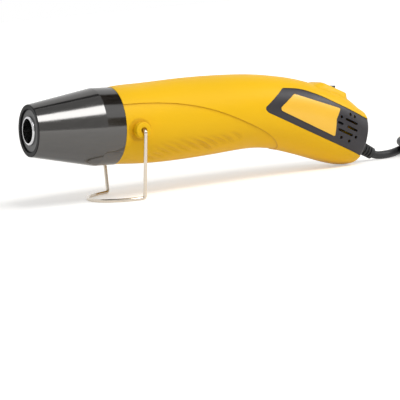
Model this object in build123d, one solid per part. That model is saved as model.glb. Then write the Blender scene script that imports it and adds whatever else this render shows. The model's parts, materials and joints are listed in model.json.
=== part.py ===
from build123d import *
import math
import os

# Embossing heat tool, nozzle towards -X, +Z up, standing on its wire foot and the heel of its handle.
# The origin lies on the table, in the mid-plane. The left side is -Y. All sizes are in millimetres.

# Barrel: pitched nose up about the seam between heat shield and housing
barrel_pitch = 3.4
seam_x = -65.07
seam_height = 43.0
barrel_radius = 22.9

# Housing: a swept handle behind the seam, in two shells that meet at the mid-plane
housing_length = 171.4
housing_wall = 2.6
rear_edge_radius = 3.5
split_gap = 0.1
station_shares = (0, 0.105, 0.233, 0.362, 0.474, 0.558, 0.631, 0.693, 0.757, 0.823, 0.894, 0.944, 0.9895)
centre_height_shares = (1, 0.984, 0.976, 0.976, 0.972, 0.953, 0.909, 0.852, 0.77, 0.672,
                        0.548, 0.446, 0.395)
half_height_shares = (1.006, 1.05, 1.07, 1.058, 1.021, 0.994, 0.984, 0.989, 0.992, 0.988, 0.948, 0.846, 0.745)
half_width_shares = (1.006, 1.031, 1.035, 1.026, 1.004, 0.974, 0.943, 0.917, 0.895, 0.873, 0.843, 0.8, 0.735)
tilt_degrees = (3.4, 1.5, 0, 0, 2, 6, 10, 13.5, 16, 18, 18, 18, 18)
roundness_shares = (1, 1, 1, 1, 0.97, 0.94, 0.92, 0.9, 0.9, 0.9, 0.9, 0.9, 0.9)
section_points = 16

# Grip: a shallow panel below a long crease, with soft slanting flutes above the belly
grip_depth = 0.4
crease_shares = ((-0.04, 1.308), (0.052, 1.302), (0.21, 1.232), (0.362, 1.055), (0.475, 0.845),
                 (0.593, 0.556), (0.645, 0.3))
flute_radius = 2.6
flute_depth = 0.28
flute_shares = (
    ((0.072, 0.583), (0.103, 0.534), (0.133, 0.488)),
    ((0.096, 0.608), (0.129, 0.562), (0.16, 0.509)),
    ((0.104, 0.683), (0.148, 0.605), (0.194, 0.525)),
    ((0.115, 0.728), (0.17, 0.633), (0.228, 0.528)),
    ((0.143, 0.748), (0.201, 0.651), (0.264, 0.534)),
    ((0.166, 0.78), (0.235, 0.673), (0.302, 0.543)),
    ((0.189, 0.793), (0.262, 0.7), (0.345, 0.52)),
    ((0.246, 0.766), (0.309, 0.689), (0.366, 0.563)),
    ((0.296, 0.738), (0.35, 0.682), (0.398, 0.58)),
    ((0.35, 0.733), (0.387, 0.678), (0.428, 0.585)),
    ((0.396, 0.747), (0.426, 0.703), (0.455, 0.624)),
)

# Side panels with vents, let into the housing and wrapped round its rear
panel_sink = 0.3
panel_thickness = 1.3
panel_gap = 0.2
panel_ledge = 2.6
panel_outline_shares = ((0.543, 1.018), (0.64, 1.262), (0.717, 1.219), (0.796, 1.088), (1.12, 0.4),
                        (1.12, -0.19), (0.556, 0.958))
panel_corner_radii = (1.6, 3.0, 40.0, 40.0, 2.2, 2.2, 1.4)
vent_share = (0.896, 0.594)
vent_radius = 9.0
vent_slant = 27.5
vent_slot_width = 1.5
vent_dot_radius = 1.0
vent_row_pitch = 3.95
vent_slots_shares = ((1, -0.42, 0.7), (0, -0.97, -0.49), (0, -0.11, 0.84), (-1, -0.76, 0.58))
vent_dots_shares = ((2, -0.08), (2, 0.34), (1, -0.78), (-1, 0.87), (-2, -0.26), (-2, 0.46))

# Bare badge plate on each side panel
badge_outline_shares = ((0.602, 0.979), (0.68, 1.164), (0.871, 0.872), (0.845, 0.733), (0.834, 0.485))
badge_corner_radii = (1.6, 1.6, 0.7, 0.6, 0.7)
badge_proud = 0.3
badge_depth = 0.4
badge_gap = 0.1
window_start = 7.8

# Wire stand: two legs on side bosses, and a rounded foot on the table
wire_radius = 1.05
wire_fit = 0.05
pivot_offset = 8.0
pivot_drop = 2.4
boss_radius = 4.75
boss_reach = 28.5
boss_edge = 0.8
pin_depth = 5.5
pin_reach = 0.3
pin_mouth_radius = 1.9
pin_mouth_depth = 1.2
leg_bend = 1.7
foot_half_width = 25.3
foot_lead = 1.7
foot_bend = 1.6
foot_run = 4.0
foot_toe_in = 15.0

# Heat shield: a spun cone with a short straight band at its root
shield_length = 51.7
shield_band = 12.2
shield_front_radius = 15.3
shield_wall = 0.8
shield_crease = 3.0
shield_gap = 0.3
collar_length = 10.7
collar_fit = 0.1
rim_radius = 15.2
rim_length = 0.4
rim_lip = 2.5
rim_skirt = 3.0
rim_wall = 1.2
rim_recess = 1.0
rim_plate = 1.0
rim_edge = 0.3

# Nozzle tube and heater
nozzle_radius = 8.5
nozzle_neck_wall = 1.3
nozzle_edge = 0.9
nozzle_wall = 0.7
nozzle_proud = 0.6
nozzle_length = 19.0
nozzle_cone = 8.0
heater_radius = 13.0
heater_rear = 15.0
seal_thickness = 3.0
seal_gap = 0.3
mica_wall = 0.5
mica_gap = 0.2
mica_length = 36.0
former_radius = 9.2
former_sheet = 0.6
former_tab = 2.0
element_wire = 0.9
element_turns = 9
element_gap = 0.15
element_end = 2.4
cutout_size = 6.0
cutout_thickness = 2.2
cutout_offset = 2.5

# Fan, its duct and its motor, on the barrel axis
duct_wall = 0.8
duct_gap = 0.4
duct_cone = 30.0
shroud_radius = 16.8
shroud_length = 15.0
impeller_tip_gap = 0.6
impeller_hub_radius = 5.0
impeller_length = 9.0
impeller_set_back = 2.5
blade_count = 7
blade_thickness = 1.0
blade_chord = 9.5
blade_root_slant = 58.0
blade_tip_slant = 35.0
shaft_radius = 1.0
shaft_fit = 0.05
shaft_depth = 7.0
motor_radius = 12.0
motor_length = 30.0
motor_boss_radius = 3.0
motor_boss_length = 1.6
motor_end_radius = 3.5
motor_edge = 1.0
mount_thickness = 2.0
mount_ring = 2.4
mount_arm = 5.0
mount_gap = 0.3
mount_arms = 3
rib_thickness = 1.6
rib_gap = 0.3
rib_catch = 1.0
board_radius = 11.0
board_thickness = 1.2
board_gap = 0.3
diode_radius = 1.4
diode_length = 5.0
diode_pitch = 4.0
diode_count = 4

# Rocker switch in a raised pod on top of the handle
pod_share = (0.904, 1.128)
pod_slant = 26.7
pod_front = 12.6
pod_rear = 7.6
pod_half_width = 8.0
pod_depth = 7.0
pod_front_ramp = 11.4
pod_rear_ramp = 3.4
pod_side_ramp = 4.0
pod_corner = 3.2
pod_edge = 0.9
switch_offset = -4.6
switch_length = 13.0
switch_width = 9.6
switch_depth = 13.0
switch_sink = 0.5
switch_wall = 1.0
switch_cavity = 5.2
switch_fit = 0.2
rocker_gap = 0.5
rocker_end_rise = 1.6
rocker_dip = 1.15
rocker_skirt = 0.6
rocker_pivot_drop = 1.3
rocker_hub_radius = 2.5
rocker_pin_radius = 0.9
rocker_tilt = 9.5
tab_width = 4.0
tab_thickness = 0.8
tab_length = 5.0
tab_spread = 4.0
tab_gap = 0.3

# Housing screws, driven from the right
screw_radius = 1.25
screw_fit = 0.05
screw_head_radius = 2.6
screw_head_height = 2.0
screw_seat = 9.0
screw_reach = 8.0
screw_cross_share = 0.7
post_radius = 3.0
cup_radius = 4.0
cup_gap = 0.4
screw_shares = ((0.121, 1.409), (0.618, 0.495), (0.607, 1.326), (0.817, 0.267))

# Strain relief at the rear, with its cord clamp inside
relief_tilt = 31.0
relief_reach = 181.7
relief_drop_height = 4.3
relief_length = 16.1
relief_root_radius = 4.3
relief_tip_radius = 3.7
relief_neck_radius = 3.6
relief_neck = 3.2
relief_flange_radius = 5.2
relief_flange = 2.0
relief_fit = 0.1
relief_edge = 0.7
slot_count = 4
slot_width = 0.9
slot_pitch = 2.1
slot_start = 3.6
slot_spine = 1.2
clamp_width = 6.0
clamp_bar = 4.2
clamp_block = 6.5
clamp_lift = 0.35
clamp_spread = 6.2
clamp_screw_radius = 1.1
clamp_screw_head = 2.1
clamp_head_height = 1.4
clamp_screw_reach = 5.0
clamp_set_back = 4.5
clamp_foot = 2.6
tail_length = 12.0

# Leads inside the housing
lead_radius = 0.8
lead_ring_radius = 19.9
lead_angle = 39.0
lead_channel = 1.5
lead_gap = 0.3
lead_bend = 2.5
lead_loop = 4.0
lead_board_side = 6.0
lead_board_rise = 5.0
lead_core_spread = 1.1

# Mains cord on the table, its put-away coil and its plug
cord_radius = 2.55
cord_floor_gap = 0.1
cord_start = ((116.63, 0, 4.3), (119.38, 0, 2.65))
cord_fillet_share = 0.45
cord_joint_gap = 0.05
cord_end_length = 9.0
coil_centre = (178.0, -12.0)
coil_entry = 48.0
coil_turns_in = 3.5
coil_turns_out = 3.75
coil_inner_radius = 19.55
coil_side_gap = 0.6
coil_layer_gap = 0.5
coil_climb_share = 1.5
coil_straight = 5.0
plug_length = 26.0
plug_half_width = 12.5
plug_corner = 4.0
plug_edge = 1.6
plug_relief = 20.0
plug_relief_root = 5.2
plug_relief_tip = 3.5
blade_pitch = 12.7
blade_width = 6.3
blade_gauge = 1.5
blade_length = 17.5
blade_hole_radius = 1.5
blade_hole_inset = 4.2

# Overrun of every cut, and the smallest bend that counts as one
overrun = 5.0
least_bend = 1e-9

FULL_TURN = 360
QUARTER = math.pi / 2
barrel = Plane(origin=(seam_x, 0, seam_height), x_dir=(0, 1, 0),
               z_dir=(-math.cos(math.radians(barrel_pitch)), 0, math.sin(math.radians(barrel_pitch))))
cord_height = cord_radius + cord_floor_gap


def save(node, *solids):
    shape = solids[0] if len(solids) == 1 else Compound(children=list(solids))
    shape.label = node
    export_step(shape, f"parts/{node}.step")


def place(share):
    """A point of the side view, from shares of the housing's length and the seam's height."""
    return seam_x + share[0] * housing_length, share[1] * seam_height


def side_prism(points, radii, grow=0, start=0):
    """A rounded outline of the side view, grown or shrunk a little, drawn out to the left."""
    outline = make_face(FilletPolyline(*points, radius=radii, close=True).edges())
    if grow:
        outline = offset(outline, grow)
    return Pos(0, -start, 0) * extrude(Plane.XZ * outline, boss_reach + overrun, dir=(0, -1, 0))


def across(spot, radius, low, high):
    """A cylinder along Y at a spot of the side view."""
    return Pos(spot[0], (low + high) / 2, spot[1]) * Rot(90, 0, 0) * Cylinder(radius, high - low)


# Housing forms

def section(index, inset):
    """One cross-section of the housing, drawn in by inset, square to the handle's spine."""
    tilt = math.radians(tilt_degrees[index])
    height = half_height_shares[index] * barrel_radius - inset
    width = half_width_shares[index] * barrel_radius - inset
    back = inset if index == len(station_shares) - 1 else 0
    x, z = place((station_shares[index], centre_height_shares[index]))
    x, z = x - back * math.cos(tilt), z + back * math.sin(tilt)
    points = []
    for step in range(section_points):
        angle = 2 * math.pi * step / section_points
        power = roundness_shares[index]
        wide = width * math.copysign(abs(math.cos(angle)) ** power, math.cos(angle))
        up = height * math.copysign(abs(math.sin(angle)) ** power, math.sin(angle))
        points.append((x + up * math.sin(tilt), wide, z + up * math.cos(tilt)))
    return Face(Wire([Spline(*points, periodic=True)]))


def form(inset):
    """The housing's outer form, drawn in by inset, with its rear edge rounded."""
    body = loft([section(index, inset) for index in range(len(station_shares))])
    rear = body.faces().sort_by(Axis.X)[-1]
    return fillet(rear.edges(), rear_edge_radius - inset)


outer = form(0)
cavity = form(housing_wall)
core = form(housing_wall / 2)
panel_face = form(panel_sink)
panel_back = form(panel_sink + panel_thickness)
panel_seat = form(panel_sink + panel_thickness + panel_gap)
grip_face = form(grip_depth)
badge_face = form(panel_sink - badge_proud)
badge_seat = form(panel_sink + badge_depth)
left_side = Pos(0, -housing_length - split_gap / 2, 0) * Box(*(3 * [2 * housing_length]))


# Grip panel and flutes

def crease_recess():
    """The shallow step below the crease line, along the whole belly."""
    crease = [place(share) for share in crease_shares]
    low = -seam_height
    edge = Spline(*crease)
    rest = Polyline(crease[-1], (crease[-1][0], low), (crease[0][0], low), crease[0])
    prism = extrude(Plane.XZ * make_face([edge, *rest.edges()]), boss_reach + overrun)
    return prism & (outer - grip_face)


def flute_point(share, depth):
    """A place just outside the grip, so that a flute centred there cuts in by depth."""
    x, z = place(share)
    hits = grip_face.find_intersection_points(Axis((x, 0, z), (0, -1, 0)))
    point, normal = min(hits, key=lambda hit: hit[0].Y)
    return point + normal * (flute_radius - depth)


def flute(shares):
    """One shallow flute that runs out at both ends."""
    first, middle, last = shares
    path = ThreePointArc(flute_point(first, 0), flute_point(middle, flute_depth), flute_point(last, 0))
    return sweep(Plane(origin=path @ 0, z_dir=path % 0) * Circle(flute_radius), path)


# Side panel and badge outlines

panel_outline = [place(share) for share in panel_outline_shares]
badge_outline = [place(share) for share in badge_outline_shares]
relief_way = (math.cos(math.radians(relief_tilt)), 0, -math.sin(math.radians(relief_tilt)))
relief = Plane(origin=(seam_x + relief_reach, 0, relief_drop_height), x_dir=(0, 1, 0), z_dir=relief_way)


def relief_cylinder(radius, near, far):
    """A cylinder on the cord exit's axis, between two distances inside the relief's tip."""
    return relief * Pos(0, 0, -(near + far) / 2) * Cylinder(radius, far - near)


def vents():
    """Rows of slots and round holes, slanting with the handle."""
    x, z = place(vent_share)
    cuts = []
    for row, start, end in vent_slots_shares:
        middle = (start + end) / 2 * vent_radius
        slot = SlotOverall((end - start) * vent_radius, vent_slot_width)
        cuts.append(Pos(middle, row * vent_row_pitch) * slot)
    for row, along in vent_dots_shares:
        cuts.append(Pos(along * vent_radius, row * vent_row_pitch) * Circle(vent_dot_radius))
    pattern = Plane.XZ * Pos(x, z) * Rot(0, 0, -vent_slant) * Compound(children=[cut.face() for cut in cuts])
    return [extrude(face, boss_reach) for face in pattern.faces()]


def badge_prism(grow=0):
    return side_prism(badge_outline, badge_corner_radii, grow)


def vent_panel():
    """The left panel: a curved sheet with vents, a badge seat and half of the cord exit."""
    sheet = (panel_face - panel_back) & side_prism(panel_outline, panel_corner_radii) & left_side
    hole = relief_cylinder(relief_neck_radius + relief_fit, 0, 2 * relief_length)
    seat = (panel_face - badge_seat) & badge_prism(badge_gap)
    return sheet - vents() - hole - seat


def badge():
    """The bare plate let into the left panel."""
    return (badge_face - badge_seat) & badge_prism()


def mirrored(solid):
    return mirror(solid, Plane.XZ)


# Switch pod and rocker switch

pod_x, pod_z = place(pod_share)
pod_lean = math.radians(pod_slant)
pod_plane = Plane(origin=(pod_x, 0, pod_z), x_dir=(math.cos(pod_lean), 0, -math.sin(pod_lean)),
                  z_dir=(math.sin(pod_lean), 0, math.cos(pod_lean)))
switch_plane = Plane(origin=pod_plane.from_local_coords((switch_offset, 0, 0)), x_dir=pod_plane.x_dir,
                     z_dir=pod_plane.z_dir)


def pod():
    """A raised island on the handle, ramped gently in front and steeply behind."""
    length = pod_front + pod_rear
    top = Pos((pod_rear - pod_front) / 2, 0, 0) * RectangleRounded(length, 2 * pod_half_width, pod_corner)
    spread = length + pod_front_ramp + pod_rear_ramp
    shift = (pod_rear + pod_rear_ramp - pod_front - pod_front_ramp) / 2
    base = RectangleRounded(spread, 2 * (pod_half_width + pod_side_ramp), pod_corner + pod_side_ramp)
    island = loft([Pos(shift, 0, -pod_depth) * base, top])
    island = fillet(island.faces().sort_by(Axis.Z)[-1].edges(), pod_edge)
    return pod_plane * island


def switch_pocket():
    depth = switch_depth + 2 * overrun
    return switch_plane * Box(switch_length + 2 * switch_fit, switch_width + 2 * switch_fit, depth)


def switch_body():
    """The switch's frame, open at the top for its rocker, with its pivot holes."""
    frame = Box(switch_length, switch_width, switch_depth, align=(Align.CENTER, Align.CENTER, Align.MAX))
    inner = Box(switch_length - 2 * switch_wall, switch_width - 2 * switch_wall, 2 * switch_cavity)
    pivot = Cylinder(rocker_pin_radius + screw_fit, switch_width)
    pivot = Pos(0, 0, -rocker_pivot_drop) * Rot(90, 0, 0) * pivot
    return switch_plane * Pos(0, 0, -switch_sink) * (frame - inner) - switch_plane * pivot


def rocker():
    """The rocker with its dished top, tilted so that its rear end stands up."""
    half = switch_length / 2 - switch_wall - rocker_gap
    width = switch_width - 2 * (switch_wall + rocker_gap)
    top_end = rocker_end_rise
    profile = make_face([ThreePointArc((-half, top_end), (0, top_end - rocker_dip), (half, top_end)),
                         *Polyline((half, top_end), (half, -rocker_skirt), (-half, -rocker_skirt),
                                   (-half, top_end)).edges()])
    slab = extrude(Plane.XZ * profile, width / 2, both=True)
    hub = Pos(0, 0, -rocker_pivot_drop) * Rot(90, 0, 0) * Cylinder(rocker_hub_radius, width)
    pins = Pos(0, 0, -rocker_pivot_drop) * Rot(90, 0, 0) * Cylinder(rocker_pin_radius, switch_width)
    lower_hub = hub - Pos(0, 0, half) * Box(*(3 * [2 * half]))
    shape = slab + lower_hub + pins
    pivot = Pos(0, 0, -rocker_pivot_drop)
    return switch_plane * pivot * Rot(0, -rocker_tilt, 0) * pivot.inverse() * shape


def switch_tabs():
    tab = Box(tab_thickness, tab_width, tab_length, align=(Align.CENTER, Align.CENTER, Align.MAX))
    low = -switch_sink - switch_depth
    return Compound(children=[switch_plane * Pos(side * tab_spread, 0, low) * tab for side in (-1, 1)])


# Wire stand

pivot_x = seam_x + pivot_offset
pivot_z = seam_height - pivot_drop


def stand_boss():
    root = barrel_radius - housing_wall / 2
    boss = Pos(pivot_x, -(boss_reach + root) / 2, pivot_z) * Rot(90, 0, 0) * Cylinder(boss_radius,
                                                                                   boss_reach - root)
    return fillet(boss.faces().sort_by(Axis.Y)[0].edges(), boss_edge)


def pin_hole():
    """The blind hole for the wire's pin, with a wider mouth that lets the wire bend down."""
    spot = (pivot_x, pivot_z)
    hole = across(spot, wire_radius + wire_fit, -boss_reach - overrun, pin_depth + pin_reach - boss_reach)
    return hole + across(spot, pin_mouth_radius, -boss_reach - overrun, pin_mouth_depth - boss_reach)


def wire_stand():
    """One bent wire: pin, leg, rounded foot, leg and pin."""
    leg_y = -(boss_reach + pin_reach + leg_bend)
    foot_x = pivot_x - foot_lead
    toe = math.radians(foot_toe_in)
    run_x = foot_x - foot_run * math.cos(toe)
    run_y = -foot_half_width + foot_run * math.sin(toe)
    side = FilletPolyline((pivot_x, pin_depth - boss_reach, pivot_z), (pivot_x, leg_y, pivot_z),
                          (foot_x, -foot_half_width, wire_radius), (run_x, run_y, wire_radius),
                          radius=[leg_bend, foot_bend])
    loop_radius = -run_y / math.cos(toe)
    apex_x = run_x + loop_radius * math.sin(toe) - loop_radius
    loop = ThreePointArc((run_x, run_y, wire_radius), (apex_x, 0, wire_radius), (run_x, -run_y, wire_radius))
    path = Wire([*side.edges(), loop, *mirrored(side).edges()])
    return sweep(Plane(origin=side @ 0, z_dir=(0, -1, 0)) * Circle(wire_radius), path)


# Pieces turned about the barrel axis: profiles are written as (radius, distance ahead of the seam)

def turned(profile):
    return barrel * revolve(Plane.XZ * make_face(profile.edges()), Axis.Z)


def tube(outside, inside, front, rear):
    """A plain ring about the barrel axis."""
    ring = Cylinder(outside, front - rear) - Cylinder(inside, 2 * (front - rear))
    return barrel * Pos(0, 0, (front + rear) / 2) * ring


collar_radius = half_height_shares[0] * barrel_radius - housing_wall - collar_fit


def heat_shield():
    """A spun sheet: collar, shoulder, short band and long cone, with a soft crease between them."""
    wall = shield_wall
    outline = FilletPolyline((collar_radius, -collar_length), (collar_radius, shield_gap),
                             (barrel_radius, shield_gap), (barrel_radius, shield_band),
                             (shield_front_radius, shield_length), radius=[0, 0, shield_crease])
    inside = FilletPolyline((shield_front_radius - wall, shield_length), (barrel_radius - wall, shield_band),
                            (barrel_radius - wall, shield_gap + wall),
                            (collar_radius - wall, shield_gap + wall),
                            (collar_radius - wall, -collar_length), radius=[shield_crease, 0, 0])
    rear = Line((collar_radius - wall, -collar_length), (collar_radius, -collar_length))
    front = Line((shield_front_radius, shield_length), (shield_front_radius - wall, shield_length))
    return turned(Wire([*outline.edges(), front, *inside.edges(), rear]))


rim_front = shield_length + rim_length
nozzle_front = rim_front + nozzle_proud


def shield_rim():
    """The black ring on the shield's front: a raised lip round a flat annulus."""
    plate_front = rim_front - rim_recess
    lip = rim_radius - rim_lip
    bore = nozzle_radius + collar_fit
    skirt = shield_front_radius - shield_wall - collar_fit
    spigot = shield_length - rim_skirt
    profile = Polyline((bore, plate_front), (lip, plate_front), (lip, rim_front), (rim_radius, rim_front),
                       (rim_radius, shield_length), (skirt, shield_length), (skirt, spigot),
                       (skirt - rim_wall, spigot), (skirt - rim_wall, plate_front - rim_plate),
                       (bore, plate_front - rim_plate), close=True)
    ring = turned(profile)
    front_edges = ring.edges().filter_by(GeomType.CIRCLE).group_by(barrel_distance)[-1]
    return fillet(front_edges, rim_edge)


def barrel_distance(edge):
    return round(barrel.to_local_coords(edge.arc_center).Z, 3)


def nozzle_tube():
    """The outlet: a narrow front tube, bevelled round, that widens behind the rim to hold the heater."""
    wall = nozzle_wall
    neck = nozzle_front - nozzle_length
    root = neck - nozzle_cone
    bore = nozzle_radius - nozzle_neck_wall
    profile = FilletPolyline((bore, nozzle_front), (nozzle_radius, nozzle_front), (nozzle_radius, neck),
                             (heater_radius, root), (heater_radius, -heater_rear),
                             (heater_radius - wall, -heater_rear), (heater_radius - wall, root), (bore, neck),
                             radius=[0, nozzle_edge, 0, 0, 0, 0, 0, 0], close=True)
    return turned(profile)


def heater_seal():
    front = -collar_length - seal_gap
    return tube(collar_radius, heater_radius + collar_fit, front, front - seal_thickness)


mica_radius = heater_radius - nozzle_wall - mica_gap
mica_front = nozzle_front - nozzle_length - nozzle_cone - mica_gap
mica_rear = mica_front - mica_length


def mica_sleeve():
    return tube(mica_radius, mica_radius - mica_wall, mica_front, mica_rear)


def mica_former():
    """Two crossed mica sheets, with wider tabs at both ends that centre them in the sleeve."""
    tab_radius = mica_radius - mica_wall - mica_gap
    sheet = Box(2 * former_radius, former_sheet, mica_length)
    shift = (mica_length - former_tab) / 2
    tabs = [Pos(0, 0, end * shift) * Box(2 * tab_radius, former_sheet, former_tab) for end in (-1, 1)]
    board = sheet + tabs
    return barrel * Pos(0, 0, (mica_front + mica_rear) / 2) * (board + Rot(0, 0, 90) * board)


def arc_pair(start, start_way, end, end_way):
    """Two arcs that leave start and reach end along the given directions."""
    gap = end - start
    ways = start_way + end_way
    bend = 2 - 2 * start_way.dot(end_way)
    along = gap.dot(ways)
    if bend < least_bend:
        reach = gap.dot(gap) / (2 * along)
    else:
        reach = (math.sqrt(along ** 2 + bend * gap.dot(gap)) - along) / bend
    corner_1 = start + start_way * reach
    corner_2 = end - end_way * reach
    middle = (corner_1 + corner_2) / 2
    return [TangentArc(start, middle, tangent=start_way),
            TangentArc(middle, end, tangent=(corner_2 - corner_1).normalized())]


def arc_path(places, ways):
    """A smooth wire of arc pairs through the given places."""
    edges = []
    for index in range(len(places) - 1):
        edges += arc_pair(places[index], ways[index], places[index + 1], ways[index + 1])
    return edges


def heating_element():
    """Resistance wire wound round the former, in quarter turns."""
    radius = former_radius + element_gap + element_wire / 2
    length = mica_length - 2 * (former_tab + element_end)
    rise = length / (element_turns * FULL_TURN)
    places, ways = [], []
    for degrees in range(0, element_turns * FULL_TURN + 1, 90):
        angle = math.radians(degrees)
        places.append(Vector(radius * math.cos(angle), radius * math.sin(angle), degrees * rise))
        slope = math.degrees(rise) / radius
        ways.append(Vector(-math.sin(angle), math.cos(angle), slope).normalized())
    path = Wire(arc_path(places, ways))
    wire = sweep(Plane(origin=places[0], z_dir=ways[0]) * Circle(element_wire / 2), path)
    return barrel * Pos(0, 0, mica_rear + former_tab + element_end) * wire


def thermal_cutout():
    low = mica_rear - seal_gap - cutout_thickness / 2
    return barrel * Pos(cutout_offset, cutout_offset, low) * Box(cutout_size, cutout_size, cutout_thickness)


# Fan

duct_front = -heater_rear - duct_gap
duct_front_radius = heater_radius - nozzle_wall
shroud_front = duct_front - duct_cone
shroud_rear = shroud_front - shroud_length
mount_front = shroud_rear - mount_gap
mount_radius = shroud_radius + duct_wall + rib_gap + rib_catch
motor_front = mount_front - mount_thickness - mount_gap
motor_rear = motor_front - motor_length
board_front = motor_rear - motor_boss_length - board_gap
board_rear = board_front - board_thickness


def air_duct():
    wall = duct_wall
    profile = Polyline((duct_front_radius, duct_front), (duct_front_radius + wall, duct_front),
                       (shroud_radius + wall, shroud_front), (shroud_radius + wall, shroud_rear),
                       (shroud_radius, shroud_rear), (shroud_radius, shroud_front), close=True)
    return turned(profile)


def blade_section(radius, slant):
    """A blade's cross-section at one radius, slanted to the plane in which the fan turns."""
    lean = math.radians(slant)
    plane = Plane(origin=(radius, 0, 0), x_dir=(0, math.cos(lean), math.sin(lean)), z_dir=(1, 0, 0))
    return plane * RectangleRounded(blade_chord, blade_thickness, blade_thickness / 3)


def impeller():
    """A hub with twisted blades, pressed on the shaft."""
    tip = shroud_radius - impeller_tip_gap
    root = impeller_hub_radius * math.cos(math.pi / blade_count)
    blade = loft([blade_section(root, blade_root_slant), blade_section(tip, blade_tip_slant)])
    hub = Cylinder(impeller_hub_radius, impeller_length)
    fan = hub + [Rot(0, 0, FULL_TURN * step / blade_count) * blade for step in range(blade_count)]
    fan = fan - Cylinder(shaft_radius + shaft_fit, 2 * impeller_length)
    return barrel * Pos(0, 0, shroud_front - impeller_set_back - impeller_length / 2) * fan


def fan_shaft():
    front = shroud_front - impeller_set_back
    rear = motor_front - shaft_depth
    return barrel * Pos(0, 0, (front + rear) / 2) * Cylinder(shaft_radius, front - rear)


def motor_mount():
    """A ring with arms to a centre plate that the motor is screwed to."""
    ring = Circle(mount_radius) - Circle(mount_radius - mount_ring)
    arm = Pos(mount_radius / 2, 0) * Rectangle(mount_radius - mount_ring / 2, mount_arm)
    plate = ring + Circle(motor_radius * 3 / 4)
    plate += [Rot(0, 0, FULL_TURN * (step + 1 / 4) / mount_arms) * arm for step in range(mount_arms)]
    plate -= Circle(motor_boss_radius + rib_gap)
    return barrel * Pos(0, 0, mount_front - mount_thickness) * extrude(plate, mount_thickness)


def fan_motor():
    """A small can motor with a bearing boss at each end."""
    can = Cylinder(motor_radius, motor_length)
    can = fillet(can.edges(), motor_edge)
    front = Pos(0, 0, (motor_length + motor_boss_length) / 2) * Cylinder(motor_boss_radius, motor_boss_length)
    rear = Pos(0, 0, -(motor_length + motor_boss_length) / 2) * Cylinder(motor_end_radius, motor_boss_length)
    bore_depth = shaft_depth + rib_gap + overrun
    bore_middle = motor_length / 2 + overrun - bore_depth / 2
    bore = Pos(0, 0, bore_middle) * Cylinder(shaft_radius + shaft_fit, bore_depth)
    return barrel * Pos(0, 0, (motor_front + motor_rear) / 2) * (can + front + rear - bore)


def rectifier_board():
    """A round board behind the motor, with its diodes."""
    disc = Pos(0, 0, board_thickness / 2) * Cylinder(board_radius, board_thickness)
    diode = Pos(0, 0, -diode_radius / 2) * Rot(0, 90, 0) * Cylinder(diode_radius, diode_length)
    first = -(diode_count - 1) * diode_pitch / 2
    diodes = [Pos(0, first + step * diode_pitch, 0) * diode for step in range(diode_count)]
    return barrel * Pos(0, 0, board_rear) * (disc + diodes)


# Housing shells

screw_spots = [place(share) for share in screw_shares]
lead_side = lead_ring_radius * math.cos(math.radians(lead_angle))
lead_rise = lead_ring_radius * math.sin(math.radians(lead_angle))


def mount_ribs():
    """Two rings of the housing that hold the motor mount between them, notched for the heater's leads."""
    inside = mount_radius - rib_catch
    front = mount_front + rib_gap
    rear = mount_front - mount_thickness - rib_gap
    ribs = [tube(boss_reach, inside, front + rib_thickness, front),
            tube(boss_reach, inside, rear, rear - rib_thickness)]
    notch = barrel * Pos(-lead_side, -lead_rise, front) * Cylinder(lead_channel, 2 * motor_length)
    return [(rib & core & left_side) - notch for rib in ribs]


def panel_opening():
    """The seat of the side panel, and the window behind it."""
    seat = (outer - panel_seat) & side_prism(panel_outline, panel_corner_radii, panel_gap)
    window = side_prism(panel_outline, panel_corner_radii, -panel_ledge, window_start)
    return [seat, window]


def shell():
    """What both shells share, as the left one."""
    body = ((outer + pod()) & left_side) - cavity + mount_ribs()
    flutes = [flute(shares) for shares in flute_shares]
    body = body - panel_opening() - crease_recess() - flutes + stand_boss()
    bore = tube(collar_radius + collar_fit, 0, overrun, -heater_rear)
    exit_hole = relief_cylinder(relief_neck_radius + relief_fit, 0, 2 * relief_length)
    return body - pin_hole() - switch_pocket() - bore - exit_hole


def left_post(spot):
    return across(spot, post_radius, -boss_reach, -split_gap / 2) & core


def left_hole(spot):
    """The blind hole that a screw is driven into."""
    return across(spot, screw_radius + screw_fit, -screw_reach - cup_gap, overrun)


def right_post(spot):
    """A screw post with a deep cup for the screw's head, drawn on the left."""
    post = across(spot, post_radius, -screw_seat, -split_gap / 2)
    return post + (across(spot, cup_radius, -boss_reach, cup_gap - screw_seat) & core)


def right_holes(spot):
    """The hole and cup that a screw passes, drawn on the left."""
    hole = across(spot, screw_radius + screw_fit, -boss_reach, overrun)
    return hole + across(spot, screw_head_radius + cup_gap, -boss_reach - overrun, -screw_seat)


clamp_at = relief_length + relief_neck + relief_flange + clamp_set_back
clamp_reach = clamp_spread + clamp_foot


def clamp_rest():
    """A block on the belly of the left shell that carries the cord and the clamp's screws."""
    block = Box(clamp_block, seam_height, clamp_width)
    block = Pos(-clamp_block / 2, clamp_reach - seam_height / 2, -clamp_at) * block
    groove_cut = relief_cylinder(cord_radius + relief_fit, 0, 2 * clamp_at)
    return ((relief * block) & core & left_side) - groove_cut - clamp_holes()


def clamp_holes():
    hole = Rot(0, 90, 0) * Cylinder(clamp_screw_radius + screw_fit, 2 * clamp_block - 2 * split_gap)
    return [relief * Pos(0, side * clamp_spread, -clamp_at) * hole for side in (-1, 1)]


def housing_left(common):
    body = common + [left_post(spot) for spot in screw_spots] + clamp_rest()
    return body - [left_hole(spot) for spot in screw_spots]


def housing_right(common):
    """The right shell, mirrored from the left side."""
    body = common + [right_post(spot) for spot in screw_spots]
    return mirrored(body - [right_holes(spot) for spot in screw_spots])


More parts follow.
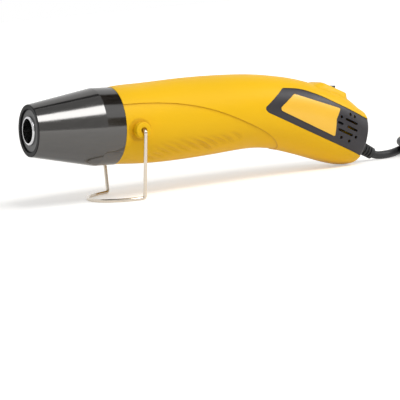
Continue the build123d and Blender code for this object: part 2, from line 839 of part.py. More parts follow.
def screw(radius, head_radius, head_height, length):
    """A pan-head screw on the Z axis, its head's underside at the origin and its shank below."""
    shank = Pos(0, 0, -length / 2) * Cylinder(radius, length)
    head = Pos(0, 0, head_height / 2) * Cylinder(head_radius, head_height)
    head = fillet(head.faces().sort_by(Axis.Z)[-1].edges(), head_height / 2)
    cross = [Pos(0, 0, head_height) * Rot(0, 0, turn) * Box(2 * head_radius * screw_cross_share,
                                                           head_radius / 4, head_height) for turn in (0, 90)]
    return shank + head - cross


def housing_screws():
    """The screws that join the shells, driven from the right."""
    one = screw(screw_radius, screw_head_radius, screw_head_height, screw_seat + screw_reach)
    return Compound(children=[Pos(x, screw_seat, z) * Rot(-90, 0, 0) * one for x, z in screw_spots])


# Strain relief and cord clamp

def strain_relief():
    """A slotted cone outside the housing, with its neck through the rear wall and a flange inside."""
    root = relief_length + relief_neck
    cone = Pos(0, 0, -relief_length / 2) * Cone(relief_root_radius, relief_tip_radius, relief_length)
    cone = chamfer(cone.faces().sort_by(Axis.Z)[-1].edges(), relief_edge)
    body = relief * cone + relief_cylinder(relief_root_radius, relief_length, root)
    for side in (-1, 1):
        for index in range(slot_count):
            along = slot_start + (index + (side + 1) / 4) * slot_pitch
            slot = Box(relief_root_radius, 2 * relief_root_radius, slot_width)
            body -= relief * Pos(side * (slot_spine + relief_root_radius / 2), 0, -along) * slot
    body = body - panel_face
    body += relief_cylinder(relief_neck_radius, relief_length - relief_edge, root + relief_flange)
    body += relief_cylinder(relief_flange_radius, relief_length, root + relief_flange) & cavity
    return body - relief_cylinder(cord_radius + relief_fit, -overrun, root + relief_flange + overrun)


tail_end = relief_length + relief_neck + relief_flange + tail_length


def cord_tail():
    return relief_cylinder(cord_radius, 0, tail_end)


def cord_clamp():
    """A bar that presses the cord on its rest."""
    bar = Pos(clamp_lift + clamp_bar / 2, 0, -clamp_at) * Box(clamp_bar, 2 * clamp_reach, clamp_width)
    bar = fillet(bar.edges().filter_by(Axis.Z), relief_edge)
    bore = Rot(0, 90, 0) * Cylinder(clamp_screw_radius + screw_fit, 4 * clamp_block)
    holes = [Pos(0, side * clamp_spread, -clamp_at) * bore for side in (-1, 1)]
    return relief * (bar - holes) - relief_cylinder(cord_radius + relief_fit, 0, 2 * clamp_at)


def clamp_screws():
    length = clamp_lift + clamp_bar + clamp_screw_reach
    one = screw(clamp_screw_radius, clamp_screw_head, clamp_head_height, length)
    seats = [Pos(clamp_lift + clamp_bar, side * clamp_spread, -clamp_at) for side in (-1, 1)]
    return Compound(children=[relief * seat * Rot(0, 90, 0) * one for seat in seats])


# Leads inside the housing

def round_sweep(path, radius):
    return sweep(Plane(origin=path @ 0, z_dir=path % 0) * Circle(radius), path)


def board_spot(side, rise):
    """A place just behind the board, and the way forward to it."""
    return barrel.from_local_coords((side, -rise, board_rear - lead_gap)), barrel.z_dir


def supply_leads():
    """Cord to switch, switch to board and cord to board."""
    cores = [relief.from_local_coords((side * lead_core_spread, 0, -tail_end - lead_gap)) for side in (-1, 1)]
    inward = -relief.z_dir
    low = -switch_sink - switch_depth - tab_length - tab_gap
    tabs = [switch_plane.from_local_coords((side * tab_spread, 0, low)) for side in (-1, 1)]
    upward = switch_plane.z_dir
    upper, forward = board_spot(-lead_board_side, lead_board_rise)
    lower = board_spot(-lead_board_side, -lead_board_rise)[0]
    runs = ((cores[1], inward, tabs[1], upward), (tabs[0], -upward, upper, forward),
            (cores[0], inward, lower, forward))
    paths = [Spline(start, end, tangents=(way, end_way)) for start, way, end, end_way in runs]
    return Compound(children=[round_sweep(path, lead_radius) for path in paths])


def heater_leads():
    """Two wires from the board, round the motor and forward to the heater's seal."""
    seal_rear = -collar_length - seal_gap - seal_thickness
    leads = []
    for side in (-1, 1):
        near = (side * lead_board_side, 0)
        far = (side * lead_side, -lead_rise)
        loop = board_rear - lead_gap - lead_loop
        spots = [(*near, board_rear - lead_gap), (*near, loop), (*far, loop), (*far, seal_rear - lead_gap)]
        path = FilletPolyline(*[barrel.from_local_coords(spot) for spot in spots], radius=lead_bend)
        leads.append(round_sweep(path, lead_radius))
    return Compound(children=leads)


# Mains cord

def cord_run(points):
    """A round cord of straight runs and arcs; prints the arcs' radii."""
    points = [Vector(point) for point in points]
    runs = [after - before for before, after in zip(points, points[1:])]
    radii = []
    for before, after in zip(runs, runs[1:]):
        turn = math.radians(before.get_angle(after))
        radii.append(cord_fillet_share * min(before.length, after.length) / math.tan(turn / 2))
    print("cord arc radii", [round(radius, 1) for radius in radii])
    return FilletPolyline(*points, radius=radii)


def checked_cord(name, path):
    """The cord along a path, with its volume compared with that of a straight cord as long."""
    cord = round_sweep(path, cord_radius)
    ideal = math.pi * cord_radius ** 2 * path.length
    share = round(cord.volume / ideal, 4)
    print(name, "length", round(path.length, 1), "volume over section times length", share)
    return cord


coil_pitch = 2 * cord_radius + coil_side_gap
coil_rise = 2 * cord_radius + coil_layer_gap
coil_middle = 2 * math.pi * coil_turns_in
coil_end = 2 * math.pi * (coil_turns_in + coil_turns_out)


def coil_point(angle):
    """Place and direction on the coil: it winds inward on the table, climbs, and winds outward."""
    past = angle - coil_middle
    half_quarter = QUARTER / 2
    radius = coil_inner_radius + coil_pitch * abs(past) / (2 * math.pi)
    growth = math.copysign(coil_pitch / (2 * math.pi), past) if abs(past) > half_quarter else 0
    level = 0 if past < -half_quarter else 1 if past > half_quarter else 1 / 2
    slope = coil_climb_share * coil_rise / math.pi if level == 1 / 2 else 0
    turn = QUARTER + math.radians(coil_entry) - angle
    spot = Vector(coil_centre[0] + radius * math.cos(turn), coil_centre[1] + radius * math.sin(turn),
                  cord_height + level * coil_rise)
    way = Vector(growth * math.cos(turn) + radius * math.sin(turn),
                 growth * math.sin(turn) - radius * math.cos(turn), slope)
    return spot, way.normalized()


coil_first, coil_first_way = coil_point(0)
coil_last, coil_last_way = coil_point(coil_end)


def coil_path():
    """The whole coil as one wire of arcs, straight at both ends."""
    count = round(coil_end / QUARTER)
    knots = [coil_point(index * QUARTER) for index in range(count + 1)]
    lead_in = Line(coil_first - coil_first_way * coil_straight, coil_first)
    lead_out = Line(coil_last, coil_last + coil_last_way * coil_straight)
    return Wire([lead_in, *arc_path([knot[0] for knot in knots], [knot[1] for knot in knots]), lead_out])


def cord_path():
    """The cord from the relief down to the table, and round one bend to the coil."""
    last = coil_first - coil_first_way * (coil_straight + cord_joint_gap)
    corner = last - coil_first_way * (last.Y / coil_first_way.Y)
    return cord_run([*cord_start, corner, last])


def cord_end_path():
    """The cord's short straight end between the coil and the plug."""
    first = coil_last + coil_last_way * (coil_straight + cord_joint_gap)
    return Line(first, first + coil_last_way * cord_end_length)


def least_gap(path):
    """The smallest gap between two turns of a wound cord, measured on points of its centre-line."""
    count = round(path.length / cord_radius)
    spots = [path @ (index / count) for index in range(count + 1)]
    skip = round(math.pi * coil_inner_radius / cord_radius)
    pairs = ((spots[low], spots[high]) for low in range(count) for high in range(low + skip, count + 1))
    return min((one - other).length for one, other in pairs) - 2 * cord_radius


def cord_coil():
    path = coil_path()
    print("least gap between turns", round(least_gap(path), 2))
    return checked_cord("cord_coil", path)


# Plug

plug_gap = coil_straight + cord_end_length + 2 * cord_joint_gap
plug = Plane(origin=coil_last + coil_last_way * plug_gap, x_dir=(-coil_last_way.Y, coil_last_way.X, 0),
             z_dir=coil_last_way)
plug_half_height = coil_rise + cord_radius


def plug_body():
    """A moulded plug with a tapered cord exit."""
    block = extrude(RectangleRounded(2 * plug_half_width, 2 * plug_half_height, plug_corner), plug_length)
    ends = block.faces().filter_by(Axis.Z)
    block = fillet([edge for end in ends for edge in end.edges()], plug_edge)
    taper = Pos(0, 0, plug_relief / 2) * Cone(plug_relief_tip, plug_relief_root, plug_relief)
    return plug * (taper + Pos(0, 0, plug_relief) * block)


def plug_blades():
    """Two flat pins, each with its round hole."""
    pin = Box(blade_gauge, blade_width, blade_length, align=(Align.CENTER, Align.CENTER, Align.MIN))
    pin = fillet(pin.edges().filter_by(Axis.X).group_by(Axis.Z)[-1], blade_gauge)
    hole = Rot(0, 90, 0) * Cylinder(blade_hole_radius, blade_width)
    pin = pin - Pos(0, 0, blade_length - blade_hole_inset) * hole
    return Compound(children=[plug * Pos(side * blade_pitch / 2, 0, plug_relief + plug_length) * pin
                              for side in (-1, 1)])


os.makedirs("parts", exist_ok=True)
half_shell = shell()
save("housing_left", housing_left(half_shell))
save("housing_right", housing_right(half_shell))
side_panel = vent_panel()
save("vent_panel_left", side_panel)
save("vent_panel_right", mirrored(side_panel))
plate = badge()
save("badge_left", plate)
save("badge_right", mirrored(plate))
save("heat_shield", heat_shield())
save("shield_rim", shield_rim())
save("nozzle_tube", nozzle_tube())
save("heater_seal", heater_seal())
save("mica_sleeve", mica_sleeve())
save("mica_former", mica_former())
save("heating_coil", heating_element())
save("thermal_cutout", thermal_cutout())
save("air_duct", air_duct())
save("impeller", impeller())
save("fan_shaft", fan_shaft())
save("motor_mount", motor_mount())
save("fan_motor", fan_motor())
save("rectifier_board", rectifier_board())
save("switch_body", switch_body())
save("switch_tabs", switch_tabs())
save("switch_rocker", rocker())
save("wire_stand", wire_stand())
save("housing_screws", housing_screws())
save("strain_relief", strain_relief())
save("cord_tail", cord_tail())
save("cord_clamp", cord_clamp())
save("clamp_screws", clamp_screws())
save("supply_leads", supply_leads())
save("heater_leads", heater_leads())
save("cord", checked_cord("cord", cord_path()))
save("cord_coil", cord_coil())
save("cord_end", checked_cord("cord_end", cord_end_path()))
save("plug_body", plug_body())
save("plug_blades", plug_blades())
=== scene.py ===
import json
import math

import bpy
from mathutils import Matrix, Vector

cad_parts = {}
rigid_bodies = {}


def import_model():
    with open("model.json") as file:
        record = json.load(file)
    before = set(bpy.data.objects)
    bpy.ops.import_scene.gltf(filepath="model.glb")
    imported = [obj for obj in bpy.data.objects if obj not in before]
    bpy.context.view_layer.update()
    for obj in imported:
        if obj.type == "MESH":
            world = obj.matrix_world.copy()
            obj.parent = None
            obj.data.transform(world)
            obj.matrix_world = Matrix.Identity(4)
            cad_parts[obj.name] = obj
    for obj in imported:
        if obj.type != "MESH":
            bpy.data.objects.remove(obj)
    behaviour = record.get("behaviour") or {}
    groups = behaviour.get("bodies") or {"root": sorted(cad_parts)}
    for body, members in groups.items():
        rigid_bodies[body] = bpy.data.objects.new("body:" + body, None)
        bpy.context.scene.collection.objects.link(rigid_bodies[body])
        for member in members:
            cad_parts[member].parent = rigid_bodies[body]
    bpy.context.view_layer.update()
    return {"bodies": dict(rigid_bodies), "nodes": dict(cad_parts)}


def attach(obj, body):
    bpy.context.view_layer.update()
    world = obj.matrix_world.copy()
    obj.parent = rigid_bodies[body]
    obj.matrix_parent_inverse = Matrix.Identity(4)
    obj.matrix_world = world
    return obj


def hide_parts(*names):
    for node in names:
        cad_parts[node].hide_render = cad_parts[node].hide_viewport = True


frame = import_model()
nodes = frame["nodes"]

# The frame of the solids, in metres: the nozzle points to -X, +Z is up, the seen side is -Y.

MM = 0.001

# Camera: direction, distance, roll and lens, and the point of the object plane in the image's middle
camera_azimuth = -27.6
camera_elevation = 6.9
camera_roll = 4.8
camera_distance = 1.1
camera_lens = 163.35
camera_centre = Vector((-11.07, 0, 0)) * MM
camera_aim_right = 1.94 * MM
camera_aim_down = 8.3 * MM

# Cord: its start, the coil and the run to the plug, in millimetres as the solids have them. The coil's entry
# is in degrees, and the whole length in metres
cord_radius = 2.55
cord_floor_gap = 0.1
cord_start = ((116.63, 0, 4.3), (119.38, 0, 2.65))
cord_end_run = 14.1
coil_centre = (178.0, -12.0)
coil_entry = 48.0
coil_turns_in = 3.5
coil_turns_out = 3.75
coil_inner_radius = 19.55
coil_side_gap = 0.6
coil_layer_gap = 0.5
coil_straight = 5.05
coil_points_per_turn = 24

# Nozzle, in millimetres: the middle of the rim's front, the radius of the plate within the rim's lip, and its
# soft edge
rim_centre = (-116.68, 0, 46.07)
rim_plate_radius = 12.2
rim_plate_edge = 0.4

# Shading: edges up to this angle, in degrees, are shaded smooth, and faces nearer than this are joined
smooth_angle = 30
join_distance = 0.001 * MM

# Materials: the middle range of a noise, the relief of a moulded and of a polished skin, a coat's roughness
noise_middle = (0.3, 0.7)
moulded_relief = 0.05 * MM
polished_relief = 0.02 * MM
coat_roughness = 0.12

# Painted shade in hollows: how far a face looks for others, how open it is at a hollow's edge and foot, the
# most that the painted shade darkens a hollow, and the rays for it
hollow_reach = 3 * MM
hollow_open, hollow_deep = 0.995, 0.935
hollow_shade_most = 0.36
hollow_rays = 16

# Floor: its side and its colour, the glow that it is seen with near the object and far from it, and the
# distances at which that starts and ends
floor_side = 9.0
floor_colour = (0.86, 0.85, 0.83)
floor_glow_colour = (1, 0.995, 0.985)
floor_glow_near, floor_glow_far = 0.42, 1.0
floor_glow_start, floor_glow_end = 0.25, 1.6

# World: its level as a light, and as it is seen
world_level = (0.385, 0.385, 0.385)
world_seen = (1.0, 1.0, 1.0)

# Cards round the object that only reflections show: side angles from the front, angles from the front horizon
# over the top, and colour
card_distance = 1.6
cards = {
    "wall": ((-60, 17), (2, 36), (0.62, 0.61, 0.60)),
    "ceiling": ((-60, 17), (70, 99), (0.55, 0.55, 0.55)),
    "flag": ((-60, 17), (101, 111), (0.07, 0.07, 0.07)),
    "side_wall": ((19, 70), (2, 27), (0.22, 0.18, 0.13)),
    "side_ceiling": ((19, 70), (68, 110), (0.11, 0.09, 0.07)),
}

# Lamps: azimuth and elevation in degrees, distance, side and power; azimuth 0 faces the seen side
light_aim = Vector((-0.03, 0.0, 0.03))
key_light = (2.0, 52.0, 1.1, 0.5, 6.4)
rake_light = (68.0, 30.0, 1.1, 0.22, 2.6)


def empty_scene_extras():
    """Removes what Blender's own start scene holds besides the frame."""
    keep = set(nodes.values()) | set(frame["bodies"].values())
    for thing in list(bpy.data.objects):
        if thing not in keep:
            bpy.data.objects.remove(thing)


# Camera

def make_camera():
    azimuth, elevation = math.radians(camera_azimuth), math.radians(camera_elevation)
    back = Vector((math.sin(azimuth) * math.cos(elevation), -math.cos(azimuth) * math.cos(elevation),
                   math.sin(elevation)))
    right = Vector((math.cos(azimuth), math.sin(azimuth), 0))
    up = back.cross(right)
    roll = math.radians(camera_roll)
    rolled_right = right * math.cos(roll) - up * math.sin(roll)
    rolled_up = right * math.sin(roll) + up * math.cos(roll)
    place = camera_centre + back * camera_distance
    aim = camera_centre + rolled_right * camera_aim_right - rolled_up * camera_aim_down
    view_back = (place - aim).normalized()
    view_right = rolled_up.cross(view_back).normalized()
    view_up = view_back.cross(view_right)
    data = bpy.data.cameras.new("camera")
    data.lens = camera_lens
    data.sensor_width = 36
    data.clip_start, data.clip_end = 0.01, 20
    camera = bpy.data.objects.new("camera", data)
    bpy.context.scene.collection.objects.link(camera)
    turn = Matrix((view_right, view_up, view_back)).transposed().to_4x4()
    camera.matrix_world = Matrix.Translation(place) @ turn
    bpy.context.scene.camera = camera


# Material helpers

def new_material(name):
    material = bpy.data.materials.new(name)
    material.use_nodes = True
    tree = material.node_tree
    shader = tree.nodes["Principled BSDF"]
    return material, tree, shader


def noise(tree, scale, detail=2.0, stretch=(1, 1, 1)):
    """A noise in the object's own coordinates, stretched along an axis where asked."""
    coords = tree.nodes.new("ShaderNodeTexCoord")
    mapping = tree.nodes.new("ShaderNodeMapping")
    mapping.inputs["Scale"].default_value = stretch
    texture = tree.nodes.new("ShaderNodeTexNoise")
    texture.inputs["Scale"].default_value = scale
    texture.inputs["Detail"].default_value = detail
    tree.links.new(coords.outputs["Object"], mapping.inputs["Vector"])
    tree.links.new(mapping.outputs["Vector"], texture.inputs["Vector"])
    return texture.outputs["Fac"]


def fill(tree, socket, value):
    """Gives a socket a number, a colour or another socket's value."""
    if isinstance(value, bpy.types.NodeSocket):
        tree.links.new(value, socket)
    elif isinstance(value, (tuple, list)):
        socket.default_value = (*value, 1)
    else:
        socket.default_value = value


def mapped(tree, value, old_range, new_range=(0.0, 1.0)):
    """Maps a value from one range to another and holds it there."""
    node = tree.nodes.new("ShaderNodeMapRange")
    node.inputs["From Min"].default_value, node.inputs["From Max"].default_value = old_range
    node.inputs["To Min"].default_value, node.inputs["To Max"].default_value = new_range
    tree.links.new(value, node.inputs["Value"])
    return node.outputs["Result"]


def spread(tree, factor, low, high):
    """Maps the middle of a noise to a range."""
    return mapped(tree, factor, noise_middle, (low, high))


def mixed(tree, factor, one, other):
    """Mixes two colours, each given as numbers or as a socket."""
    node = tree.nodes.new("ShaderNodeMix")
    node.data_type = "RGBA"
    for socket, value in zip((node.inputs[0], node.inputs[6], node.inputs[7]), (factor, one, other)):
        fill(tree, socket, value)
    return node.outputs[2]


def arithmetic(tree, operation, one, other):
    node = tree.nodes.new("ShaderNodeMath")
    node.operation = operation
    for socket, value in zip(node.inputs, (one, other)):
        fill(tree, socket, value)
    return node.outputs[0]


def distance_from(tree, place):
    """How far a point is from a place, in the object's own coordinates."""
    coords = tree.nodes.new("ShaderNodeTexCoord")
    node = tree.nodes.new("ShaderNodeVectorMath")
    node.operation = "DISTANCE"
    node.inputs[1].default_value = place
    tree.links.new(coords.outputs["Object"], node.inputs[0])
    return node.outputs["Value"]


def seen_share(tree):
    """One where the camera, a reflection or a view through glass looks, nought where light is gathered."""
    rays = tree.nodes.new("ShaderNodeLightPath").outputs
    either = arithmetic(tree, "MAXIMUM", rays["Is Camera Ray"], rays["Is Glossy Ray"])
    return arithmetic(tree, "MAXIMUM", either, rays["Is Transmission Ray"])


def bumped(tree, shader, factor, strength, distance):
    node = tree.nodes.new("ShaderNodeBump")
    node.inputs["Strength"].default_value = strength
    node.inputs["Distance"].default_value = distance
    tree.links.new(factor, node.inputs["Height"])
    tree.links.new(node.outputs["Normal"], shader.inputs["Normal"])


def painted_hollow_shade(tree):
    """Painted shade: nought on open faces, rising in flutes, seams and corners, where shade would fall."""
    near = tree.nodes.new("ShaderNodeAmbientOcclusion")
    near.samples = hollow_rays
    near.only_local = True
    near.inputs["Distance"].default_value = hollow_reach
    return mapped(tree, near.outputs["AO"], (hollow_open, hollow_deep), (0.0, hollow_shade_most))


def plastic(name, colour, roughness=0.45, grain=0.08, variation=0.05, coat=0.0, specular=0.5, hollow_shade_colour=None):
    """Moulded plastic: an even colour with faint drift, a fine spark-eroded grain and uneven gloss, and
    painted shade in its hollows where asked.
    """
    material, tree, shader = new_material(name)
    drift = spread(tree, noise(tree, scale=22, detail=3), 0, 1)
    darker = [channel * (1 - variation) for channel in colour]
    surface = mixed(tree, drift, darker, colour)
    if hollow_shade_colour:
        # Painted shade: the colour is darkened towards the shade colour in flutes, seams and corners
        surface = mixed(tree, painted_hollow_shade(tree), surface, hollow_shade_colour)
    tree.links.new(surface, shader.inputs["Base Color"])
    gloss = spread(tree, noise(tree, scale=60, detail=4), roughness - 0.05, roughness + 0.05)
    tree.links.new(gloss, shader.inputs["Roughness"])
    bumped(tree, shader, noise(tree, scale=2600, detail=2), grain, moulded_relief)
    shader.inputs["Specular IOR Level"].default_value = specular
    shader.inputs["Coat Weight"].default_value = coat
    shader.inputs["Coat Roughness"].default_value = coat_roughness
    return material


def metal(name, colour, roughness=0.2, wear=0.06, stretch=(1, 1, 1), scale=400):
    """Metal with uneven polish; a stretched noise reads as brushing or turning marks."""
    material, tree, shader = new_material(name)
    marks = noise(tree, scale, detail=3, stretch=stretch)
    shader.inputs["Metallic"].default_value = 1.0
    darker = [channel * (1 - wear) for channel in colour]
    tree.links.new(mixed(tree, spread(tree, marks, 0, 1), darker, colour), shader.inputs["Base Color"])
    tree.links.new(spread(tree, marks, roughness * 0.75, roughness * 1.25), shader.inputs["Roughness"])
    bumped(tree, shader, marks, 0.04, polished_relief)
    return material


def rubber(name, colour, roughness=0.6):
    """Cord and grommet rubber: matt, with a fine uneven skin."""
    material, tree, shader = new_material(name)
    darker = [channel * 0.8 for channel in colour]
    mottle = spread(tree, noise(tree, scale=90, detail=4), 0, 1)
    tree.links.new(mixed(tree, mottle, darker, colour), shader.inputs["Base Color"])
    gloss = spread(tree, noise(tree, scale=300, detail=3), roughness - 0.08, roughness + 0.08)
    tree.links.new(gloss, shader.inputs["Roughness"])
    bumped(tree, shader, noise(tree, scale=1800, detail=3), 0.12, moulded_relief)
    shader.inputs["Specular IOR Level"].default_value = 0.4
    return material


def mineral(name, colour, other, scale=160, roughness=0.7):
    """Mica, ceramic or circuit board: a mottled matt sheet."""
    material, tree, shader = new_material(name)
    mottle = spread(tree, noise(tree, scale, detail=5), 0, 1)
    tree.links.new(mixed(tree, mottle, colour, other), shader.inputs["Base Color"])
    shader.inputs["Roughness"].default_value = roughness
    bumped(tree, shader, noise(tree, scale * 4, detail=3), 0.15, moulded_relief)
    return material


def rim_material():
    """The rim's black lip, and its plate of grey metal round the outlet tube, told apart by their radius."""
    material, tree, shader = new_material("rim_black_and_grey")
    radius = distance_from(tree, Vector(rim_centre) * MM)
    plate = mapped(tree, radius, (rim_plate_radius * MM, (rim_plate_radius - rim_plate_edge) * MM))
    grain = spread(tree, noise(tree, scale=160, detail=3), 0, 1)
    black = mixed(tree, grain, (0.010, 0.010, 0.011), (0.014, 0.014, 0.015))
    grey = mixed(tree, grain, (0.19, 0.19, 0.19), (0.23, 0.23, 0.23))
    tree.links.new(mixed(tree, plate, black, grey), shader.inputs["Base Color"])
    shader.inputs["Roughness"].default_value = 0.45
    shader.inputs["Specular IOR Level"].default_value = 0.12
    bumped(tree, shader, noise(tree, scale=2200, detail=2), 0.08, moulded_relief)
    return material


# The materials of the CAD nodes

def dress_nodes():
    """Gives the CAD nodes in the table below their materials, and hands back the cord's."""
    # The housing's darker amber in its flutes, seams and corners is painted shade
    yellow = plastic("housing_yellow", (0.92, 0.53, 0.004), roughness=0.46, grain=0.1, variation=0.04,
                     specular=0.22, hollow_shade_colour=(0.42, 0.17, 0.002))
    panel = plastic("panel_black", (0.036, 0.033, 0.038), roughness=0.42, grain=0.16, specular=0.35)
    badge = plastic("badge_yellow", (0.98, 0.56, 0.045), roughness=0.32, grain=0.04, coat=0.12)
    shield = metal("shield_black_chrome", (0.118, 0.115, 0.112), roughness=0.15, stretch=(1, 12, 12),
                   scale=60)
    rim = rim_material()
    tube = metal("tube_chrome", (0.62, 0.62, 0.63), roughness=0.16, stretch=(1, 10, 10), scale=120)
    # The stand wire is steel whose colour is warmed as a painted reflection of the yellow housing
    wire = metal("stand_wire", (0.66, 0.59, 0.5), roughness=0.2, scale=500)
    steel = metal("zinc_steel", (0.52, 0.52, 0.53), roughness=0.32, scale=900)
    motor = metal("motor_can", (0.5, 0.5, 0.49), roughness=0.3, stretch=(12, 1, 1), scale=120)
    brass = metal("contact_brass", (0.78, 0.58, 0.27), roughness=0.25, scale=600)
    element = metal("element_wire", (0.33, 0.29, 0.27), roughness=0.45, wear=0.4, scale=900)
    inner = plastic("inner_black", (0.03, 0.03, 0.032), roughness=0.5)
    rocker = plastic("rocker_black", (0.015, 0.015, 0.016), roughness=0.28, grain=0.05, coat=0.2)
    relief = rubber("relief_rubber", (0.03, 0.03, 0.032))
    cable = rubber("cord_rubber", (0.035, 0.035, 0.037), roughness=0.5)
    leads = rubber("lead_insulation", (0.62, 0.6, 0.55))
    plug = plastic("plug_black", (0.03, 0.03, 0.031), roughness=0.45, grain=0.2)
    ceramic = mineral("seal_ceramic", (0.72, 0.69, 0.6), (0.8, 0.78, 0.7))
    mica = mineral("mica_sheet", (0.5, 0.4, 0.22), (0.66, 0.58, 0.4), scale=90, roughness=0.4)
    board = mineral("circuit_board", (0.02, 0.12, 0.05), (0.03, 0.17, 0.07), roughness=0.45)
    choices = {
        yellow: ("housing_left", "housing_right"),
        panel: ("vent_panel_left", "vent_panel_right"),
        badge: ("badge_left", "badge_right"),
        shield: ("heat_shield",),
        rim: ("shield_rim",),
        tube: ("nozzle_tube",),
        wire: ("wire_stand",),
        steel: ("housing_screws", "clamp_screws", "fan_shaft"),
        motor: ("fan_motor",),
        brass: ("switch_tabs", "plug_blades"),
        element: ("heating_coil",),
        inner: ("air_duct", "impeller", "motor_mount", "thermal_cutout", "cord_clamp", "switch_body"),
        rocker: ("switch_rocker",),
        relief: ("strain_relief",),
        cable: ("cord_tail",),
        leads: ("supply_leads", "heater_leads"),
        plug: ("plug_body",),
        ceramic: ("heater_seal",),
        mica: ("mica_sleeve", "mica_former"),
        board: ("rectifier_board",),
    }
    for material, names in choices.items():
        for name in names:
            nodes[name].data.materials.clear()
            nodes[name].data.materials.append(material)
    return cable


# Smooth shading of the solids, with their real edges kept sharp

def smooth_group(angle):
    """Geometry nodes that join the solids' split faces and shade them smooth up to an angle."""
    group = bpy.data.node_groups.new("smooth_faces", "GeometryNodeTree")
    group.interface.new_socket("Geometry", in_out="INPUT", socket_type="NodeSocketGeometry")
    group.interface.new_socket("Geometry", in_out="OUTPUT", socket_type="NodeSocketGeometry")
    entry = group.nodes.new("NodeGroupInput")
    leave = group.nodes.new("NodeGroupOutput")
    merge = group.nodes.new("GeometryNodeMergeByDistance")
    merge.inputs["Distance"].default_value = join_distance
    faces = group.nodes.new("GeometryNodeSetShadeSmooth")
    edges = group.nodes.new("GeometryNodeSetShadeSmooth")
    edges.domain = "EDGE"
    edge_angle = group.nodes.new("GeometryNodeInputMeshEdgeAngle")
    compare = group.nodes.new("FunctionNodeCompare")
    compare.operation = "LESS_EQUAL"
    compare.inputs[1].default_value = math.radians(angle)
    group.links.new(entry.outputs[0], merge.inputs["Geometry"])
    group.links.new(merge.outputs["Geometry"], faces.inputs["Geometry"])
    group.links.new(faces.outputs["Geometry"], edges.inputs["Geometry"])
    group.links.new(edge_angle.outputs["Unsigned Angle"], compare.inputs[0])
    group.links.new(compare.outputs["Result"], edges.inputs["Shade Smooth"])
    group.links.new(edges.outputs["Geometry"], leave.inputs[0])
    return group


def smooth_nodes():
    group = smooth_group(smooth_angle)
    for node in nodes.values():
        modifier = node.modifiers.new("smooth", "NODES")
        modifier.node_group = group


# Cord

def coil_points():
    """The coil's turns: inward on the table, up a layer, and outward again."""
    pitch = 2 * cord_radius + coil_side_gap
    rise = 2 * cord_radius + coil_layer_gap
    count = round((coil_turns_in + coil_turns_out) * coil_points_per_turn)
    points = []
    for step in range(count + 1):
        past = step / coil_points_per_turn - coil_turns_in
        radius = coil_inner_radius + pitch * abs(past)
        share = min(max(2 * past + 0.5, 0), 1)
        level = share * share * (3 - 2 * share)
        turn = math.radians(90 + coil_entry) - step * 2 * math.pi / coil_points_per_turn
        points.append(Vector((coil_centre[0] + radius * math.cos(turn),
                              coil_centre[1] + radius * math.sin(turn),
                              cord_radius + cord_floor_gap + level * rise)))
    return points


def cord_points():
    """From the relief's tip down to the table, round one bend into the coil, and on to the plug."""
    coil = coil_points()
    way_in = (coil[0] - coil[1]).normalized()
    way_out = (coil[-1] - coil[-2]).normalized()
    lead = coil[0] + way_in * coil_straight
    corner = lead - way_in * (lead.y / way_in.y)
    leave, end = coil[-1] + way_out * coil_straight, coil[-1] + way_out * cord_end_run
    return [*cord_start, corner, lead, *coil, leave, end]


def make_cord(material):
    """The mains cord as one smooth curve: out of the housing, round its coil and into the plug."""
    points = cord_points()
    data = bpy.data.curves.new("mains_cord", "CURVE")
    data.dimensions = "3D"
    data.bevel_depth = cord_radius * MM
    data.bevel_resolution = 5
    data.resolution_u = 6
    data.use_fill_caps = True
    spline = data.splines.new("NURBS")
    spline.points.add(len(points) - 1)
    for spot, point in zip(spline.points, points):
        spot.co = (*(Vector(point) * MM), 1)
    spline.order_u = 3
    spline.use_endpoint_u = True
    data.materials.append(material)
    cord = bpy.data.objects.new("mains_cord", data)
    bpy.context.scene.collection.objects.link(cord)
    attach(cord, "root")
    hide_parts("cord", "cord_coil", "cord_end")


# Floor, cards, world and lamps

def stage_sheet(name, corners, material):
    """A flat sheet of the studio, which isn't part of the object."""
    mesh = bpy.data.meshes.new(name)
    mesh.from_pydata(corners, [], [(0, 1, 2, 3)])
    mesh.materials.append(material)
    sheet = bpy.data.objects.new(name, mesh)
    bpy.context.scene.collection.objects.link(sheet)
    return sheet


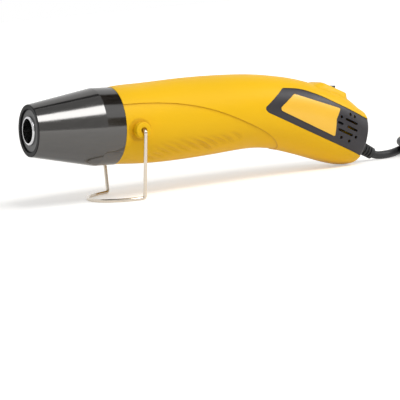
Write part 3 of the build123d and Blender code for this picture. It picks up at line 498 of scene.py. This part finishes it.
def make_floor():
    """A white floor that keeps the object's soft shadow and glows a little more with the distance."""
    material, tree, shader = new_material("floor_white")
    shader.inputs["Base Color"].default_value = (*floor_colour, 1)
    shader.inputs["Roughness"].default_value = 0.6
    shader.inputs["Specular IOR Level"].default_value = 0.2
    shader.inputs["Emission Color"].default_value = (*floor_glow_colour, 1)
    glow = mapped(tree, distance_from(tree, (0, 0, 0)), (floor_glow_start, floor_glow_end),
                  (floor_glow_near, floor_glow_far))
    tree.links.new(arithmetic(tree, "MULTIPLY", seen_share(tree), glow), shader.inputs["Emission Strength"])
    half = floor_side / 2
    stage_sheet("floor", [(-half, -half, 0), (half, -half, 0), (half, half, 0), (-half, half, 0)], material)


def make_cards():
    """The studio's grey and dark cards, which shape the reflections in metal and light nothing."""
    for name, (sides, turns, colour) in cards.items():
        corners = []
        for side, turn in zip((*sides, *reversed(sides)), (turns[0], turns[0], turns[1], turns[1])):
            aside, over = math.radians(side), math.radians(turn)
            ahead = math.cos(aside)
            way = Vector((math.sin(aside), -ahead * math.cos(over), ahead * math.sin(over)))
            corners.append(way * card_distance)
        material, _, shader = new_material("card_" + name)
        shader.inputs["Base Color"].default_value = (0, 0, 0, 1)
        shader.inputs["Specular IOR Level"].default_value = 0.0
        shader.inputs["Emission Color"].default_value = (*colour, 1)
        shader.inputs["Emission Strength"].default_value = 1.0
        card = stage_sheet("card_" + name, corners, material)
        card.visible_camera = card.visible_diffuse = card.visible_shadow = card.visible_transmission = False


def make_world():
    """White where it is seen, in metal too, and softer as a light."""
    world = bpy.data.worlds.new("studio")
    bpy.context.scene.world = world
    world.use_nodes = True
    tree = world.node_tree
    background = tree.nodes["Background"]
    tree.links.new(mixed(tree, seen_share(tree), world_level, world_seen), background.inputs["Color"])
    background.inputs["Strength"].default_value = 1.0


def area_light(name, azimuth, elevation, distance, side, power):
    """A square lamp that faces the object."""
    data = bpy.data.lights.new(name, "AREA")
    data.size = side
    data.energy = power
    lamp = bpy.data.objects.new(name, data)
    turn, lift = math.radians(azimuth), math.radians(elevation)
    way = Vector((math.sin(turn) * math.cos(lift), -math.cos(turn) * math.cos(lift), math.sin(lift)))
    lamp.location = light_aim + way * distance
    lamp.rotation_mode = "QUATERNION"
    lamp.rotation_quaternion = way.to_track_quat("Z", "Y")
    bpy.context.scene.collection.objects.link(lamp)


def make_lights():
    """A soft box above the front, and a smaller lamp from the rear that rakes along the flank."""
    area_light("key", *key_light)
    area_light("rake", *rake_light)


empty_scene_extras()
make_camera()
cord_material = dress_nodes()
make_cord(cord_material)
smooth_nodes()
make_floor()
make_world()
make_cards()
make_lights()
bpy.context.scene.view_settings.view_transform = "Standard"
